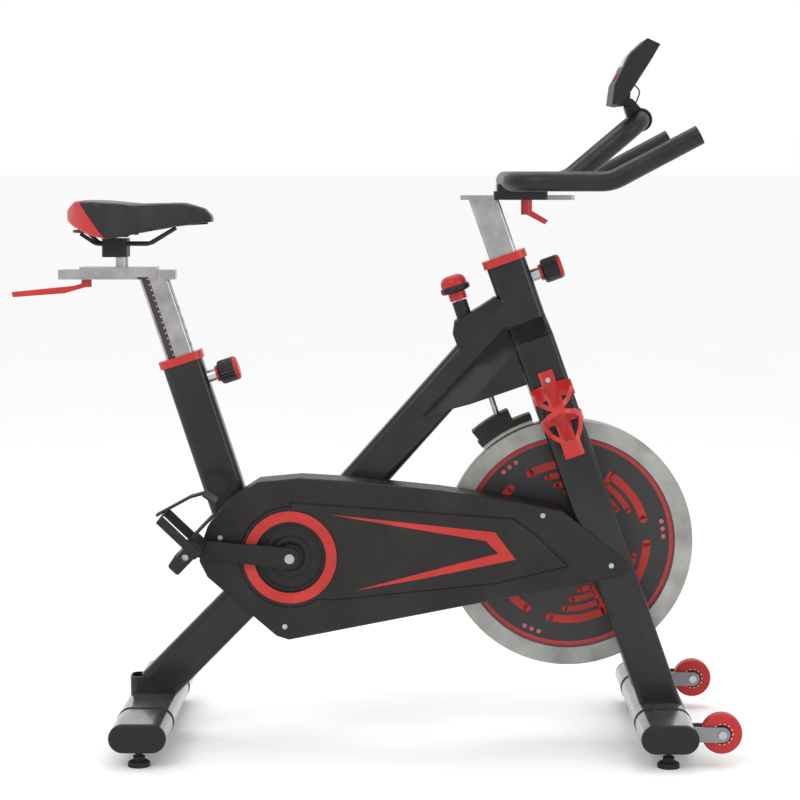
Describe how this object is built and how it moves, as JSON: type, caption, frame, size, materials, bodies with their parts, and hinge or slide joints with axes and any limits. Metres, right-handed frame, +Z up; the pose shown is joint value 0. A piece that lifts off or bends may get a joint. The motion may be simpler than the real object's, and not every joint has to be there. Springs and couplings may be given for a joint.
{
  "type": "indoor spin bike",
  "caption": "Indoor spin bike: leaning fork over a heavy flywheel, covered belt drive, pedals with toe cages, sliding saddle and handlebar posts, screw brake",
  "frame": {"origin": "on the floor, in the middle of the bounding box", "axes": "+X forward (handlebar end), +Y rider's left, +Z up"},
  "size_m": [1.2705, 0.5, 1.235],
  "materials": {
    "frame_black": "gloss black powder coat",
    "tube_silver": "glossy dark silver lacquer",
    "post_chrome": "satin chrome plate",
    "steel": "plain steel",
    "wheel_iron": "turned rim, black painted disc",
    "red_plastic": "red moulding",
    "black_plastic": "fine textured black moulding",
    "cover_black": "satin black moulding with red graphics",
    "foot_rubber": "black rubber",
    "bar_foam": "smooth black dipped coating",
    "saddle_cover": "black synthetic leather with red side panels",
    "felt": "pale wool felt",
    "tyre_red": "red polyurethane"
  },
  "bodies": {
    "frame": {"head_tube": "frame_black", "crown": "frame_black", "fork_leg_right": "frame_black", "fork_leg_left": "frame_black", "seat_tube": "frame_black", "diagonal_tube": "frame_black", "rear_strut": "frame_black", "bb_shell": "frame_black", "shroud_plates": "cover_black", "front_stabilizer": "tube_silver", "rear_stabilizer": "tube_silver", "end_caps": "black_plastic", "frame_fasteners": "steel", "post_collars": "red_plastic", "flywheel_axle": "steel", "bearings": "steel", "brake_guide": "black_plastic", "cover_outer": "cover_black", "cover_inner": "cover_black", "cover_left": "cover_black", "bottle_cage": "red_plastic", "belt": "foot_rubber", "brake_spring": "steel"},
    "flywheel": {"flywheel": "wheel_iron", "small_pulley": "steel"},
    "crankset": {"large_pulley": "black_plastic", "bb_axle": "steel", "crank_left": "steel", "crank_right": "steel", "pedal_spindles": "steel"},
    "pedal_right": {"pedal_right": "black_plastic", "toe_cage_right": "black_plastic"},
    "pedal_left": {"pedal_left": "black_plastic", "toe_cage_left": "black_plastic"},
    "seat_post": {"seat_post": "post_chrome"},
    "seat_carriage": {"seat_carriage": "post_chrome"},
    "seat_lever": {"seat_lever": "red_plastic"},
    "seat_pin": {"seat_pin": "black_plastic"},
    "saddle": {"saddle_rails": "steel", "saddle_base": "black_plastic", "saddle": "saddle_cover"},
    "bar_post": {"head_post": "post_chrome"},
    "bar_slider": {"bar_bracket": "frame_black", "handlebar": "bar_foam", "console_mount": "black_plastic", "console_wire": "foot_rubber"},
    "bar_lever": {"bar_lever": "red_plastic"},
    "bar_pin": {"bar_pin": "black_plastic"},
    "console": {"console": "black_plastic"},
    "console_button": {"console_button": "red_plastic"},
    "brake_rod": {"brake_rod": "steel", "brake_caliper": "black_plastic", "brake_pad": "felt"},
    "brake_knob": {"brake_knob": "red_plastic"},
    "transport_wheel_left": {"transport_wheel_left": "tyre_red"},
    "transport_wheel_right": {"transport_wheel_right": "tyre_red"},
    "foot_front_left": {"foot_front_left": "foot_rubber"},
    "foot_front_right": {"foot_front_right": "foot_rubber"},
    "foot_rear_left": {"foot_rear_left": "foot_rubber"},
    "foot_rear_right": {"foot_rear_right": "foot_rubber"}
  },
  "joints": [
    {"name": "flywheel_spin", "type": "hinge", "parent": "frame", "child": "flywheel", "pos_m": [0.35, 0, 0.351], "axis": [0, 1, 0], "continuous": true},
    {"name": "crank_spin", "type": "hinge", "parent": "frame", "child": "crankset", "pos_m": [-0.14, 0, 0.3385], "axis": [0, 1, 0], "continuous": true},
    {"name": "pedal_right_spin", "type": "hinge", "parent": "crankset", "child": "pedal_right", "pos_m": [-0.31156, -0.165, 0.35653], "axis": [0, 1, 0], "continuous": true},
    {"name": "pedal_left_spin", "type": "hinge", "parent": "crankset", "child": "pedal_left", "pos_m": [0.03155, 0.165, 0.32047], "axis": [0, 1, 0], "continuous": true},
    {"name": "seat_height", "type": "slide", "parent": "frame", "child": "seat_post", "axis": [-0.309, 0, 0.9511], "range_m": [-0.11, 0.11]},
    {"name": "seat_fore_aft", "type": "slide", "parent": "seat_post", "child": "seat_carriage", "axis": [1, 0, 0], "range_m": [-0.03, 0.03]},
    {"name": "saddle_tilt", "type": "hinge", "parent": "seat_carriage", "child": "saddle", "pos_m": [-0.44, 0, 0.864], "axis": [0, 1, 0], "range_deg": [-6, 6]},
    {"name": "seat_lever_turn", "type": "hinge", "parent": "seat_carriage", "child": "seat_lever", "pos_m": [-0.503, 0, 0.81], "axis": [0, 0, 1], "range_deg": [-100, 100]},
    {"name": "seat_pin_pull", "type": "slide", "parent": "frame", "child": "seat_pin", "axis": [0.9511, 0, 0.309], "range_m": [0, 0.01], "stiffness_N_per_m": 900, "springref_m": -0.01},
    {"name": "bar_height", "type": "slide", "parent": "frame", "child": "bar_post", "axis": [-0.3338, 0, 0.9426], "range_m": [-0.044, 0.088]},
    {"name": "bar_fore_aft", "type": "slide", "parent": "bar_post", "child": "bar_slider", "axis": [1, 0, 0], "range_m": [-0.028, 0.045]},
    {"name": "bar_lever_turn", "type": "hinge", "parent": "bar_slider", "child": "bar_lever", "pos_m": [0.273, 0, 0.94], "axis": [0, 0, 1], "range_deg": [-100, 100]},
    {"name": "bar_pin_pull", "type": "slide", "parent": "frame", "child": "bar_pin", "axis": [0.9426, 0, 0.3338], "range_m": [0, 0.01], "stiffness_N_per_m": 900, "springref_m": -0.01},
    {"name": "console_tilt", "type": "hinge", "parent": "bar_slider", "child": "console", "pos_m": [0.451, 0, 1.128], "axis": [0, 1, 0], "range_deg": [-20, 0]},
    {"name": "console_button_press", "type": "slide", "parent": "console", "child": "console_button", "axis": [0.8944, 0, -0.4472], "range_m": [0, 0.0015], "stiffness_N_per_m": 500, "springref_m": -0.001},
    {"name": "brake_push", "type": "slide", "parent": "frame", "child": "brake_rod", "axis": [0.3156, 0, -0.9489], "range_m": [0, 0.0016], "stiffness_N_per_m": 3000, "springref_m": -0.004},
    {"name": "brake_knob_turn", "type": "hinge", "parent": "brake_rod", "child": "brake_knob", "pos_m": [0.1478, 0, 0.8029], "axis": [-0.3156, 0, 0.9489], "range_deg": [-720, 720]},
    {"name": "transport_wheel_left_spin", "type": "hinge", "parent": "frame", "child": "transport_wheel_left", "pos_m": [0.6005, 0.205, 0.056], "axis": [0, 1, 0], "continuous": true},
    {"name": "transport_wheel_right_spin", "type": "hinge", "parent": "frame", "child": "transport_wheel_right", "pos_m": [0.6005, -0.205, 0.056], "axis": [0, 1, 0], "continuous": true},
    {"name": "foot_front_left_screw", "type": "slide", "parent": "frame", "child": "foot_front_left", "axis": [0, 0, 1], "range_m": [0, 0.006]},
    {"name": "foot_front_right_screw", "type": "slide", "parent": "frame", "child": "foot_front_right", "axis": [0, 0, 1], "range_m": [0, 0.006]},
    {"name": "foot_rear_left_screw", "type": "slide", "parent": "frame", "child": "foot_rear_left", "axis": [0, 0, 1], "range_m": [0, 0.006]},
    {"name": "foot_rear_right_screw", "type": "slide", "parent": "frame", "child": "foot_rear_right", "axis": [0, 0, 1], "range_m": [0, 0.006]}
  ],
  "couplings": [
    {"joint": "crank_spin", "follows": "flywheel_spin", "ratio": 0.27273}
  ]
}
